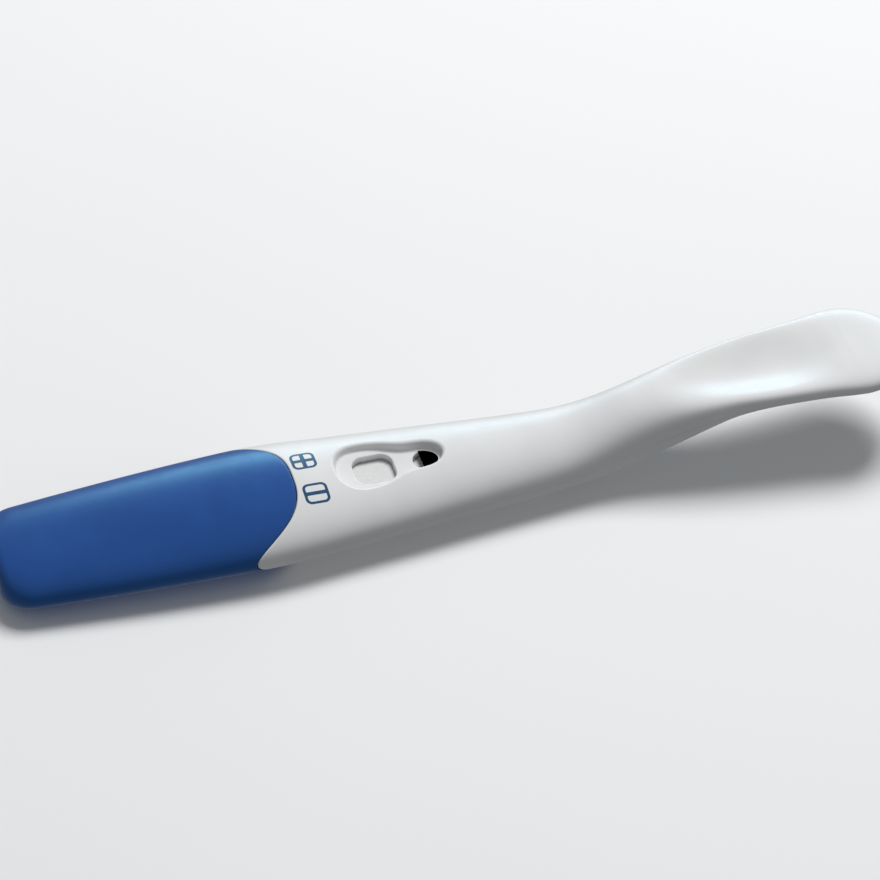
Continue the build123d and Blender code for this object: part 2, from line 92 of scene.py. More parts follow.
# ---------------------------------------------------------------- curves and sections
def spline(points, closed=False, dense=4000):
    """Smooth curve through points, as many close points."""
    p = np.array(points, float)
    if closed:
        p = np.vstack([p, p[:1]])
    d = np.r_[0, np.cumsum(np.linalg.norm(np.diff(p, axis=0), axis=1))]
    n, h = len(p), np.diff(d)
    a, r = np.zeros((n, n)), np.zeros((n, p.shape[1]))
    for i in range(1, n - 1):
        a[i, i - 1], a[i, i], a[i, i + 1] = h[i - 1], 2 * (h[i - 1] + h[i]), h[i]
        r[i] = 6 * ((p[i + 1] - p[i]) / h[i] - (p[i] - p[i - 1]) / h[i - 1])
    if closed:
        a[0, 0], a[0, -1] = 1, -1
        a[-1, 0], a[-1, 1], a[-1, -2], a[-1, -1] = 2 * h[0], h[0], h[-1], 2 * h[-1]
        r[-1] = 6 * ((p[1] - p[0]) / h[0] - (p[-1] - p[-2]) / h[-1])
    else:
        a[0, 0] = a[-1, -1] = 1
    m = np.linalg.solve(a, r)
    t = np.linspace(0, d[-1], dense + 1)
    i = np.clip(np.searchsorted(d, t, side="right") - 1, 0, n - 2)
    u, v, w = (d[i + 1] - t)[:, None], (t - d[i])[:, None], h[i][:, None]
    return m[i] * u**3 / (6 * w) + m[i + 1] * v**3 / (6 * w) + (p[i] / w - m[i] * w / 6) * u + (p[i + 1] / w - m[i + 1] * w / 6) * v


def even(line, count, closed=True):
    """The line's points again, evenly spaced. A closed line repeats its first point at its end."""
    d = np.r_[0, np.cumsum(np.linalg.norm(np.diff(line, axis=0), axis=1))]
    t = np.linspace(0, d[-1], count + 1)[:-1] if closed else np.linspace(0, d[-1], count)
    return np.stack([np.interp(t, d, line[:, k]) for k in range(line.shape[1])], 1)


def outward(loop):
    """Unit normals of a closed loop that point out of it."""
    t = np.roll(loop, -1, 0) - np.roll(loop, 1, 0)
    t /= np.linalg.norm(t, axis=1)[:, None]
    n = np.stack([t[:, 1], -t[:, 0]], 1)
    area = np.sum(loop[:, 0] * np.roll(loop[:, 1], -1) - np.roll(loop[:, 0], -1) * loop[:, 1])
    return n if area > 0 else -n


MOUTH = spline(MOUTH_HALF)


def mouth(y):
    return np.interp(np.abs(y), MOUTH[:, 0], MOUTH[:, 1])


def outline(s):
    s = np.asarray(s, float)
    st = OUTLINE[:, 0]
    i = np.clip(np.searchsorted(st, s) - 1, 0, len(st) - 2)
    secant = np.diff(OUTLINE[:, 1:], axis=0) / np.diff(st)[:, None]
    slope = np.vstack([secant[:1], (secant[:-1] + secant[1:]) / 2, secant[-1:]])
    h = (st[i + 1] - st[i])[..., None]
    t = (s - st[i])[..., None] / h
    a, b = OUTLINE[i, 1:], OUTLINE[i + 1, 1:]
    v = (2 * t**3 - 3 * t**2 + 1) * a + (t**3 - 2 * t**2 + t) * slope[i] * h
    v = v + (3 * t**2 - 2 * t**3) * b + (t**3 - t**2) * slope[i + 1] * h
    return np.moveaxis(v, -1, 0)


def section(s, t, inset=0.0, upper=True, seam=0.0, end=None):
    """Offset and height on a section. t is 0 at the side and 1 at the middle. end = (plan radius, edge radius, first
    station) rounds a closed end off."""
    s, t, inset = np.broadcast_arrays(np.asarray(s, float), np.asarray(t, float), np.asarray(inset, float))
    w, rim, under, side, dish, k_up, k_low = outline(s)
    edge, k, lift = (rim - inset, k_up, dish) if upper else (under + inset, k_low, 0 * dish)
    w = w - inset
    if end is not None:
        corner, edge_r, first = end
        d = np.clip(corner - (s - first), 0, corner)
        w = w - corner + np.sqrt(np.maximum(corner**2 - d**2, 0))
        d = np.clip(edge_r - (s - first), 0, edge_r)
        drop = edge_r - np.sqrt(np.maximum(edge_r**2 - d**2, 0))
        edge = edge - drop if upper else edge + drop
    h = edge - side
    y = w * ((1 - t) ** 3 + 3 * (1 - t) ** 2 * t + 3 * k * (1 - t) * t**2)
    z = side + h * (3 * k * (1 - t) ** 2 * t + 3 * (1 - t) * t**2 + t**3)
    z = z + lift * (4.5 * t**2 * (1 - t) ** 3 + 3.5 * t**3 * (1 - t) ** 2 - 5 * t**4 * (1 - t) - t**5)
    if seam:
        near = np.maximum(0, 1 - np.abs(z - side) / 0.14)
        y = y - seam * near**2
    return y, z


def on_top(s, y, inset=0.0):
    """Height of the upper surface over a point seen from above."""
    s, y = np.broadcast_arrays(np.asarray(s, float), np.abs(np.asarray(y, float)))
    lo, hi = np.zeros(s.shape), np.ones(s.shape)
    for _ in range(40):
        mid = (lo + hi) / 2
        wide = section(s, mid, inset)[0] > y
        lo, hi = np.where(wide, mid, lo), np.where(wide, hi, mid)
    return section(s, (lo + hi) / 2, inset)[1]


def side_rows(count):
    """Row values from -1 (one side) over 0 (the middle) to 1 (the other side), closer at the parting edge."""
    t = np.r_[0, 0.006, 0.012, np.linspace(0, 1, count + 1)[1:]]
    return np.r_[t - 1, (1 - t)[::-1][1:]]


def mouth_station(tau, shift, upper, inset=0.0):
    s = np.full(np.shape(tau), 42.0)
    for _ in range(30):
        s = mouth(section(s, 1 - np.abs(tau), inset, upper)[0]) + shift
    return s


# ---------------------------------------------------------------- meshes
class Skin:
    def __init__(self):
        self.parts, self.faces, self.count = [], [], 0

    def add(self, points):
        points = np.asarray(points, float)
        flat = points.reshape(-1, 3)
        index = np.arange(self.count, self.count + len(flat)).reshape(points.shape[:-1])
        self.parts.append(flat)
        self.count += len(flat)
        return index

    def grid(self, index, skip=None, around=False):
        if around:
            index = np.concatenate([index, index[:, :1]], 1)
        quads = np.stack([index[:-1, :-1], index[1:, :-1], index[1:, 1:], index[:-1, 1:]], -1)
        if skip is not None:
            quads = quads[~skip]
        self.faces += quads.reshape(-1, 4).tolist()

    def strip(self, a, b, closed=True):
        self.grid(np.stack([a, b]), around=closed)

    def poly(self, index):
        self.faces.append([int(i) for i in index])

    def tris(self, faces):
        self.faces += np.asarray(faces).tolist()

    def make(self, name, body, slot=None, smooth=True, split=None):
        v = np.concatenate(self.parts) * MM
        mesh = bpy.data.meshes.new(name)
        mesh.from_pydata(v.tolist(), [], self.faces)
        bm = bmesh.new()
        bm.from_mesh(mesh)
        bmesh.ops.remove_doubles(bm, verts=bm.verts, dist=1.5e-7)
        bmesh.ops.dissolve_degenerate(bm, dist=1e-8, edges=bm.edges)
        big = [f for f in bm.faces if len(f.verts) > 4]
        if big:
            bmesh.ops.triangulate(bm, faces=big)
        gaps = [e for e in bm.edges if len(e.link_faces) == 1]
        if gaps:
            bmesh.ops.holes_fill(bm, edges=gaps, sides=0)
        bmesh.ops.recalc_face_normals(bm, faces=bm.faces)
        loose = [x for x in bm.verts if not x.link_faces]
        if loose:
            bmesh.ops.delete(bm, geom=loose, context="VERTS")
        open_edges = sum(1 for e in bm.edges if len(e.link_faces) != 2)
        bm.to_mesh(mesh)
        bm.free()
        for p in mesh.polygons:
            p.use_smooth = smooth
        if split:
            mesh.set_sharp_from_angle(angle=math.radians(split))
        print(name, "vertices", len(mesh.vertices), "faces", len(mesh.polygons), "open edges", open_edges)
        obj = bpy.data.objects.new(name, mesh)
        bpy.context.scene.collection.objects.link(obj)
        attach(obj, body)
        return obj


def inside(points, loop):
    x, y = points[:, 0][:, None], points[:, 1][:, None]
    a, b = loop, np.roll(loop, -1, 0)
    cross = (a[:, 1] > y) != (b[:, 1] > y)
    at = (b[:, 0] - a[:, 0]) * (y - a[:, 1]) / np.where(b[:, 1] == a[:, 1], 1e-12, b[:, 1] - a[:, 1]) + a[:, 0]
    return (np.sum(cross & (x < at), 1) % 2) == 1


def fill(outer, holes, spacing, margin):
    """Triangles between a loop and its holes. Returns points, outer loop and holes first and in order, and triangles."""
    origin_at = outer.mean(0)
    outer, *holes = [(loop - origin_at).astype(np.float32).astype(float) for loop in [outer] + list(holes)]
    loops = [outer] + list(holes)
    pts, edges, n = [], [], 0
    for loop in loops:
        pts.append(loop)
        edges += [(n + i, n + (i + 1) % len(loop)) for i in range(len(loop))]
        n += len(loop)
    border = np.concatenate(pts)
    lo, hi = outer.min(0), outer.max(0)
    if spacing:
        xs, ys = np.arange(lo[0], hi[0], spacing), np.arange(lo[1], hi[1], spacing * 0.866)
        gx, gy = np.meshgrid(xs, ys, indexing="ij")
        gx = gx + (np.arange(len(ys)) % 2)[None, :] * spacing / 2
        q = np.stack([gx.ravel(), gy.ravel()], 1)
        keep = inside(q, outer)
        for hole in holes:
            keep &= ~inside(q, hole)
        q = q[keep]
        near = np.array([np.min(np.sum((border - p) ** 2, 1)) for p in q]) if len(q) else np.zeros(0)
        q = q[near > margin**2]
        pts.append(q)
    everything = np.concatenate(pts)
    v, _, f, origin, _, _ = delaunay_2d_cdt([Vector(p) for p in everything], edges, [], 0, 1e-9, True)
    first = [o[0] if o else -1 for o in origin]
    out = np.array([[first[i] for i in face] for face in f])
    out = out[(out >= 0).all(1)]
    mid = everything[out].mean(1)
    keep = inside(mid, outer)
    for hole in holes:
        keep &= ~inside(mid, hole)
    return everything + origin_at, out[keep]


def rounded_box(s0, s1, y0, y1, r, count):
    pts = []
    for cx, cy, a0 in ((s1 - r, y1 - r, 0), (s0 + r, y1 - r, 90), (s0 + r, y0 + r, 180), (s1 - r, y0 + r, 270)):
        for a in np.radians(a0 + np.linspace(0, 90, 24)):
            pts.append((cx + r * math.cos(a), cy + r * math.sin(a)))
    pts.append(pts[0])
    return even(np.array(pts), count)


# ---------------------------------------------------------------- casing shells
ROWS = side_rows(42)
T_ROWS = 1 - np.abs(ROWS)
SIDE = np.sign(ROWS)
RIM_R, FLOOR_R, STEEP = 0.62, 0.42, math.radians(78)


def rows_points(s, inset, upper, seam=0.0, floor=False):
    y, z = section(s, T_ROWS, inset, upper, seam)
    if floor:
        z = np.maximum(z, 0.0)
    return np.stack([px(np.broadcast_to(s, y.shape)), y * SIDE, z], -1)


def slot_path(upper, station):
    """Half of the wick slot's edge on a section, from one side of the parting height to the other."""
    half, z0, z1, r = WICK_HALF + 0.1, WICK_Z0 - 0.1, WICK_Z1 + 0.1, 0.6
    side = float(outline(station)[3])
    pts = [(-half, side)]
    sign = 1 if upper else -1
    end = z1 if upper else z0
    for a in np.radians(np.linspace(180, 90, 12)):
        pts.append((-half + r + r * math.cos(a), end - sign * r + sign * r * math.sin(a)))
    for a in np.radians(np.linspace(90, 0, 12)):
        pts.append((half - r + r * math.cos(a), end - sign * r + sign * r * math.sin(a)))
    pts.append((half, side))
    line = np.array(pts)
    d = np.r_[0, np.cumsum(np.linalg.norm(np.diff(line, axis=0), axis=1))]
    at = (ROWS + 1) / 2 * d[-1]
    return np.stack([np.full(len(at), float(px(station))), np.interp(at, d, line[:, 0]), np.interp(at, d, line[:, 1])], 1)


def casing_shell(upper):
    skin = Skin()
    edge = mouth_station(ROWS, MOUTH_GAP, upper)
    stations, insets = [], []

    def column(s, inset):
        stations.append(np.broadcast_to(np.asarray(s, float), ROWS.shape).copy())
        insets.append(np.broadcast_to(np.asarray(inset, float), ROWS.shape).copy())

    nose = CAP_WALL + CAP_FIT
    for a in np.radians(np.linspace(90, 0, 9)):
        column(NOSE_S + 0.7 - 0.7 * math.sin(a), nose + 0.7 - 0.7 * math.cos(a))
    for f in np.linspace(0, 1, 40)[1:]:
        column((NOSE_S + 0.7) * (1 - f) + (edge - 0.12) * f, nose)
    for a in np.radians(np.linspace(0, 90, 4)[1:]):
        column(edge - 0.12 + 0.12 * math.sin(a), nose - 0.12 + 0.12 * math.cos(a))
    column(edge, 0.8)
    for a in np.radians(np.linspace(90, 0, 7)):
        column(edge + 0.22 - 0.22 * math.sin(a), 0.22 - 0.22 * math.cos(a))
    for f in np.linspace(0, 1, 26)[1:]:
        column((edge + 0.22) * (1 - f) + 49.0 * f, 0)
    first_even = len(stations) - 1
    for s in np.arange(49.5, 110.01, 0.5):
        column(s, 0)
    last_hollow = len(stations) - 1
    for s in np.linspace(110.0, TAIL_S, 47)[1:]:
        column(s, 0)
    s, inset = np.array(stations), np.array(insets)
    outer_pts = np.stack([rows_points(s[i], inset[i], upper, 0.07, not upper) for i in range(len(s))])
    outer = skin.add(outer_pts)

    # inside of the wall, column by column with the outside
    s_in = np.clip(s, NOSE_S + NOSE_WALL, 110.0)
    ease = np.clip((s_in - 46.0) / 4.0, 0, 1)
    ease = ease * ease * (3 - 2 * ease)
    wall = (nose + 1.4) * (1 - ease) + SHELL * ease
    inner_pts = np.stack([rows_points(s_in[i], wall[i], upper) for i in range(len(s))])
    inner = skin.add(inner_pts)

    skip = None
    if upper:
        i0, i1 = first_even + 1, first_even + 45  # stations 49.5 to 71.5
        wide = np.abs(outer_pts[first_even + 15, :, 1])
        j = np.where(wide < 8.1)[0]
        j0, j1 = int(j[0]), int(j[-1])
        skip = np.zeros((len(s) - 1, len(ROWS) - 1), bool)
        skip[i0:i1, j0:j1] = True
        rim_loop = pool_top(skin, frame_loop(outer, i0, i1, j0, j1), outer_pts, frame_cells(i0, i1, j0, j1))
        pool_under(skin, frame_loop(inner, i0, i1, j0, j1), inner_pts, frame_cells(i0, i1, j0, j1), rim_loop)
    skin.grid(outer, skip)
    skin.grid(inner, skip)

    # nose front with the wick slot, slot walls, and the wall's inner side
    front, back = skin.add(slot_path(upper, NOSE_S)), skin.add(slot_path(upper, NOSE_S + NOSE_WALL))
    skin.strip(outer[0], front, False)
    skin.strip(front, back, False)
    skin.strip(back, inner[0], False)
    # parting faces
    for r in (0, -1):
        skin.poly([outer[0, r], front[r], back[r], inner[0, r]])
        for i in range(last_hollow):
            skin.poly([outer[i, r], outer[i + 1, r], inner[i + 1, r], inner[i, r]])
    i = last_hollow
    skin.poly([outer[i, -1], outer[i + 1, -1], outer[i + 1, 0], outer[i, 0], inner[i, 0], inner[i, -1]])
    for i in range(last_hollow + 1, len(s) - 1):
        skin.poly([outer[i, -1], outer[i + 1, -1], outer[i + 1, 0], outer[i, 0]])
    skin.poly(inner[last_hollow])

    # round handle end
    half = ROWS >= 0
    y, z = section(TAIL_S, 1 - ROWS[half], 0, upper, 0.07)
    turn = np.linspace(0, math.pi, 73)
    end = skin.add(np.stack([
        px(TAIL_S) + y[None, :] * np.sin(turn)[:, None],
        y[None, :] * np.cos(turn)[:, None],
        np.broadcast_to(z, (len(turn), len(z)))], -1))
    skin.grid(end)
    skin.poly(list(end[:, -1]))
    return skin


def frame_cells(i0, i1, j0, j1):
    cells = [(i, j0) for i in range(i0, i1)] + [(i1, j) for j in range(j0, j1)]
    return cells + [(i, j1) for i in range(i1, i0, -1)] + [(i0, j) for j in range(j1, j0, -1)]


def frame_loop(index, i0, i1, j0, j1):
    return np.array([index[c] for c in frame_cells(i0, i1, j0, j1)])


def plan_of(points, cells):
    p = np.array([points[c] for c in cells])
    return np.stack([p[:, 0] + LENGTH / 2, p[:, 1]], 1)


POOL_LOOP = even(spline(POOL_EDGE + [(s, -y) for s, y in POOL_EDGE[::-1][1:-1]], closed=True), 200)
WINDOWS = [rounded_box(54.9, 61.1, -2.95, 2.95, 1.9, 120),
           rounded_box(65.9 - 1.85, 65.9 + 1.85, -1.85, 1.85, 1.849, 72)]
WINDOW_EDGE = 0.22


def lifted(plan, z):
    return np.stack([px(plan[:, 0]), plan[:, 1], np.broadcast_to(z, plan.shape[:1])], 1)


def pool_top(skin, border, points, cells):
    """The recessed pool: its rounded rim, sloped wall, floor fillet and floor, and the edges of the two windows."""
    plan = plan_of(points, cells)
    n = outward(POOL_LOOP)
    rim = POOL_LOOP + n * 0.12
    everything, faces = fill(plan, [rim], 0.42, 0.2)
    b = len(plan)
    extra = skin.add(lifted(everything[b:], on_top(everything[b:, 0], everything[b:, 1])))
    index = np.concatenate([border, extra])
    skin.tris(index[faces])
    ring = extra[: len(rim)]
    # rim round
    for a in np.linspace(0, STEEP, 9)[1:]:
        plan_ring = rim - n * RIM_R * math.sin(a)
        z = on_top(plan_ring[:, 0], plan_ring[:, 1]) - RIM_R * (1 - math.cos(a))
        new = skin.add(lifted(plan_ring, z))
        skin.strip(ring, new)
        ring = new
    # sloped wall and floor fillet
    z_low = POOL_FLOOR_Z + FLOOR_R * (1 - math.cos(STEEP))
    run = np.maximum(z - z_low, 0.02) / math.tan(STEEP)
    for f in (0.5, 1.0):
        new = skin.add(lifted(plan_ring - n * (run * f)[:, None], z * (1 - f) + z_low * f))
        skin.strip(ring, new)
        ring = new
    plan_ring = plan_ring - n * run[:, None]
    for a in np.linspace(STEEP, 0, 7)[1:]:
        at = plan_ring - n * FLOOR_R * (math.sin(STEEP) - math.sin(a))
        new = skin.add(lifted(at, POOL_FLOOR_Z + FLOOR_R * (1 - math.cos(a))))
        skin.strip(ring, new)
        ring = new
    # floor with the window edges
    holes = [w + outward(w) * WINDOW_EDGE for w in WINDOWS]
    everything, faces = fill(at, holes, 0.5, 0.2)
    b = len(at)
    extra = skin.add(lifted(everything[b:], POOL_FLOOR_Z))
    skin.tris(np.concatenate([ring, extra])[faces])
    k, loops = 0, []
    for w, hole in zip(WINDOWS, holes):
        ring = extra[k: k + len(hole)]
        k += len(hole)
        o = outward(w)
        for a in np.linspace(0, math.pi / 2, 7)[1:]:
            at = w + o * WINDOW_EDGE * (1 - math.sin(a))
            new = skin.add(lifted(at, POOL_FLOOR_Z - WINDOW_EDGE * (1 - math.cos(a))))
            skin.strip(ring, new)
            ring = new
        low = skin.add(lifted(w, POOL_SKIN_Z))
        skin.strip(ring, low)
        loops.append(low)
    return loops


def pool_under(skin, border, points, cells, window_loops):
    """Underside of the pool: a block that hangs below the shell's inner side, with the windows through it."""
    plan = plan_of(points, cells)
    block = POOL_LOOP + outward(POOL_LOOP) * 1.0
    everything, faces = fill(plan, [block], 0.8, 0.3)
    b = len(plan)
    extra = skin.add(lifted(everything[b:], on_top(everything[b:, 0], everything[b:, 1], SHELL)))
    skin.tris(np.concatenate([border, extra])[faces])
    low = skin.add(lifted(block, POOL_SKIN_Z))
    skin.strip(extra[: len(block)], low)
    everything, faces = fill(block, WINDOWS, 0.8, 0.3)
    b = len(block)
    sizes = sum(len(w) for w in WINDOWS)
    more = skin.add(lifted(everything[b + sizes:], POOL_SKIN_Z)) if len(everything) > b + sizes else np.zeros(0, int)
    skin.tris(np.concatenate([low] + window_loops + [more])[faces])


# ---------------------------------------------------------------- cap
def cap_skin():
    skin = Skin()
    half = side_rows(38)
    half = half[(np.abs(np.abs(half) - 1) > 0.02) | (np.abs(half) == 1)]  # no parting edge on the cap
    up, down = half[::-1], half  # +side over the top to -side, then under it back to +side
    tau = np.r_[up[:-1], down[:-1]]
    is_up = np.r_[np.ones(len(up) - 1, bool), np.zeros(len(down) - 1, bool)]

    def ring(s, inset, end, floor):
        s = np.broadcast_to(np.asarray(s, float), tau.shape)
        yu, zu = section(s, 1 - np.abs(tau), inset, True, 0, end)
        yl, zl = section(s, 1 - np.abs(tau), inset, False, 0, end)
        y, z = np.where(is_up, yu, yl) * np.sign(tau), np.where(is_up, zu, zl)
        if floor:
            z = np.maximum(z, 0.0)
        return np.stack([px(s), y, z], -1)

    edge = np.where(is_up, mouth_station(tau, 0.0, True), mouth_station(tau, 0.0, False))
    lip = 0.18
    outer_end, inner_end = (CAP_CORNER_R, 1.5, 0.0), (3.3, 0.5, CAP_TIP_WALL)
    rings = []
    # outside, tip to mouth
    tip = [CAP_CORNER_R * (1 - math.cos(a)) for a in np.radians(np.linspace(0, 90, 34))]
    for s in tip:
        rings.append(ring(s, 0, outer_end, True))
    for f in np.linspace(0, 1, 80)[1:]:
        rings.append(ring(CAP_CORNER_R * (1 - f) + (edge - lip) * f, 0, outer_end, True))
    # mouth edge
    for a in np.radians(np.linspace(0, 90, 6)[1:]):
        rings.append(ring(edge - lip + lip * math.sin(a), lip - lip * math.cos(a), outer_end, True))
    rings.append(ring(edge, CAP_WALL / 2, outer_end, True))
    for a in np.radians(np.linspace(90, 0, 6)):
        rings.append(ring(edge - lip + lip * math.sin(a), CAP_WALL - lip + lip * math.cos(a), None, False))
    # inside, mouth to tip
    for f in np.linspace(0, 1, 50)[1:]:
        rings.append(ring((edge - lip) * (1 - f) + (CAP_TIP_WALL + 3.3) * f, CAP_WALL, inner_end, False))
    for a in np.radians(np.linspace(90, 0, 20)[1:]):
        rings.append(ring(CAP_TIP_WALL + 3.3 * (1 - math.cos(a)), CAP_WALL, inner_end, False))
    index = skin.add(np.stack(rings))
    skin.grid(index, around=True)
    # closed tip, outside and inside
    for k, x in ((0, 0.0), (-1, CAP_TIP_WALL)):
        base = rings[k]
        centre = np.array([px(x), 0, (base[:, 2].max() + base[:, 2].min()) / 2])
        ring_index = index[k]
        for f in (0.9, 0.7, 0.45, 0.2):
            new = skin.add(centre + (base - centre) * f)
            skin.strip(ring_index, new)
            ring_index = new
        skin.poly(ring_index)
    return skin


# ---------------------------------------------------------------- wick
def wick_skin():
    skin = Skin()
    r, n = 0.5, 96
    rng = np.random.default_rng(7)
    mid = (WICK_Z0 + WICK_Z1) / 2

    def ring(s):
        half = WICK_HALF
        d = max(0.0, 2.7 - (s - WICK_S0))
        half = half - 2.7 + math.sqrt(max(2.7**2 - d**2, 0))
        d = max(0.0, 0.55 - (s - WICK_S0))
        tall = 1.25 - 0.55 + math.sqrt(max(0.55**2 - d**2, 0))
        rr = min(r, tall * 0.9, half * 0.9)
        loop = rounded_box(-half, half, -tall, tall, rr, n)
        return np.stack([np.full(n, float(px(s))), loop[:, 0], mid + loop[:, 1]], 1)

    stations = [WICK_S0 + 2.7 * (1 - math.cos(a)) for a in np.radians(np.linspace(0, 90, 20))]
    stations += list(np.linspace(WICK_S0 + 2.7, WICK_S1, 140)[1:])
    rings = np.stack([ring(s) for s in stations])
    # pressed fibre: long low ridges along the rod and a faint waviness
    centre = np.array([0, 0, mid])
    ridge = np.cumsum(rng.normal(0, 1, (len(stations), n)), 0)
    ridge = (ridge - ridge.mean(0)) / (ridge.std() + 1e-9)
    fine = rng.normal(0, 1, (1, n)) * 0.7 + 0.3 * ridge
    lift = np.clip(fine, -1.5, 1.5)
    lift = 0.012 * (lift - 1.6)
    spread = rings - centre
    spread[..., 0] = 0
    length = np.linalg.norm(spread, axis=-1, keepdims=True)
    rings = rings + spread / np.maximum(length, 0.3) * lift[..., None]
    index = skin.add(rings)
    skin.grid(index, around=True)
    for k in (0, -1):
        base = rings[k]
        c = base.mean(0)
        ring_index = index[k]
        for f in (0.7, 0.35):
            new = skin.add(c + (base - c) * f)
            skin.strip(ring_index, new)
            ring_index = new
        skin.poly(ring_index)
    return skin


# ---------------------------------------------------------------- printed signs
def ink(name, outer, holes):
    """A printed shape on the casing's top: a very thin layer that follows the surface."""
    skin = Skin()
    everything, faces = fill(outer, holes, 0.3, 0.06)
    z = on_top(everything[:, 0], everything[:, 1])
    top = skin.add(lifted(everything, z + 0.014))
    low = skin.add(lifted(everything, z - 0.03))
    skin.tris(top[faces])
    skin.tris(low[faces][:, ::-1])
    k = 0
    for loop in [outer] + holes:
        skin.strip(top[k: k + len(loop)], low[k: k + len(loop)])
        k += len(loop)
    return skin


def sign(name, s, y, long, wide, plus):
    """A sign in a rounded frame: the frame and its bar or cross are one printed shape."""
    line, bar, r = 0.42, 0.64, 0.95
    outer = rounded_box(s - long / 2, s + long / 2, y - wide / 2, y + wide / 2, r, 96)
    x0, x1, y0, y1 = s - long / 2 + line, s + long / 2 - line, y - wide / 2 + line, y + wide / 2 - line
    r2 = r - line
    spans_y = [(y0, y - bar / 2), (y + bar / 2, y1)]
    spans_x = [(x0, s - bar / 2), (s + bar / 2, x1)] if plus else [(x0, x1)]
    holes = []
    for ya, yb in spans_y:
        for xa, xb in spans_x:
            # the cell's corners on the frame are round, those on the bars nearly sharp
            pts = []
            for cx, cy, a0, on_frame in (
                    (xb, yb, 0, xb == x1 and yb == y1), (xa, yb, 90, xa == x0 and yb == y1),
                    (xa, ya, 180, xa == x0 and ya == y0), (xb, ya, 270, xb == x1 and ya == y0)):
                q = r2 if on_frame else 0.1
                ox, oy = (-q if cx == xb else q), (-q if cy == yb else q)
                for a in np.radians(a0 + np.linspace(0, 90, 12)):
                    pts.append((cx + ox + q * math.cos(a), cy + oy + q * math.sin(a)))
            pts.append(pts[0])
            holes.append(even(np.array(pts), 44))
    return ink(name, outer, holes)


# ---------------------------------------------------------------- materials
class Material:
    def __init__(self, name):
        self.m = bpy.data.materials.new(name)
        self.m.use_nodes = True
        self.t = self.m.node_tree
        self.bsdf = self.t.nodes["Principled BSDF"]
        self.coord = self.t.nodes.new("ShaderNodeTexCoord").outputs["Object"]

    def set(self, **values):
        for k, v in values.items():
            self.bsdf.inputs[k.replace("_", " ")].default_value = v
        return self

    def noise(self, scale, detail=3.0, rough=0.5, stretch=(1, 1, 1)):
        mapping = self.t.nodes.new("ShaderNodeMapping")
        mapping.inputs["Scale"].default_value = stretch
        self.t.links.new(self.coord, mapping.inputs["Vector"])
        n = self.t.nodes.new("ShaderNodeTexNoise")
        n.inputs["Scale"].default_value = scale
        n.inputs["Detail"].default_value = detail
        n.inputs["Roughness"].default_value = rough
        self.t.links.new(mapping.outputs["Vector"], n.inputs["Vector"])
        return n.outputs["Fac"]

    def ramp(self, value, low, high, at=(0.35, 0.65)):
        r = self.t.nodes.new("ShaderNodeValToRGB")
        r.color_ramp.elements[0].position, r.color_ramp.elements[1].position = at
        r.color_ramp.elements[0].color, r.color_ramp.elements[1].color = (*low, 1), (*high, 1)
        self.t.links.new(value, r.inputs["Fac"])
        return r.outputs["Color"]

    def span(self, value, low, high):
        r = self.t.nodes.new("ShaderNodeMapRange")
        r.inputs["From Min"].default_value, r.inputs["From Max"].default_value = 0.3, 0.7
        r.inputs["To Min"].default_value, r.inputs["To Max"].default_value = low, high
        self.t.links.new(value, r.inputs["Value"])
        return r.outputs["Result"]

    def link(self, output, name):
        self.t.links.new(output, self.bsdf.inputs[name])
        return self

    def bump(self, height, strength, distance):
        b = self.t.nodes.new("ShaderNodeBump")
        b.inputs["Strength"].default_value, b.inputs["Distance"].default_value = strength, distance
        self.t.links.new(height, b.inputs["Height"])
        self.t.links.new(b.outputs["Normal"], self.bsdf.inputs["Normal"])
        return self


def white_plastic():
    m = Material("white_moulded_plastic")
    m.link(m.ramp(m.noise(120, 2), (0.80, 0.80, 0.805), (0.835, 0.833, 0.83)), "Base Color")
    m.link(m.span(m.noise(900, 3), 0.34, 0.42), "Roughness")
    m.bump(m.noise(5200, 2, 0.6), 0.10, 0.00003)
    return m.set(IOR=1.49, Specular_IOR_Level=0.42).m


def blue_plastic():
    m = Material("blue_moulded_plastic")
    m.link(m.ramp(m.noise(90, 2), (0.024, 0.074, 0.29), (0.028, 0.084, 0.32)), "Base Color")
    m.link(m.span(m.noise(800, 3), 0.28, 0.35), "Roughness")
    m.bump(m.noise(5200, 2, 0.6), 0.08, 0.00003)
    m.set(IOR=1.5, Specular_IOR_Level=0.6, Specular_Tint=(0.05, 0.75, 1.0, 1), Metallic=0.0)
    return m.m


def fibre(name, low, high, stretch, scale, strength):
    m = Material(name)
    n = m.noise(scale, 6, 0.65, stretch)
    m.link(m.ramp(n, low, high), "Base Color")
    m.link(m.span(m.noise(2000, 2), 0.88, 1.0), "Roughness")
    m.bump(n, strength, 0.00015)
    return m.set(Specular_IOR_Level=0.2).m


def simple(name, low, high, rough, scale, strength=0.15):
    m = Material(name)
    n = m.noise(scale, 4)
    m.link(m.ramp(n, low, high), "Base Color")
    m.link(m.span(n, rough - 0.04, rough + 0.04), "Roughness")
    m.bump(n, strength, 0.00004)
    return m.m


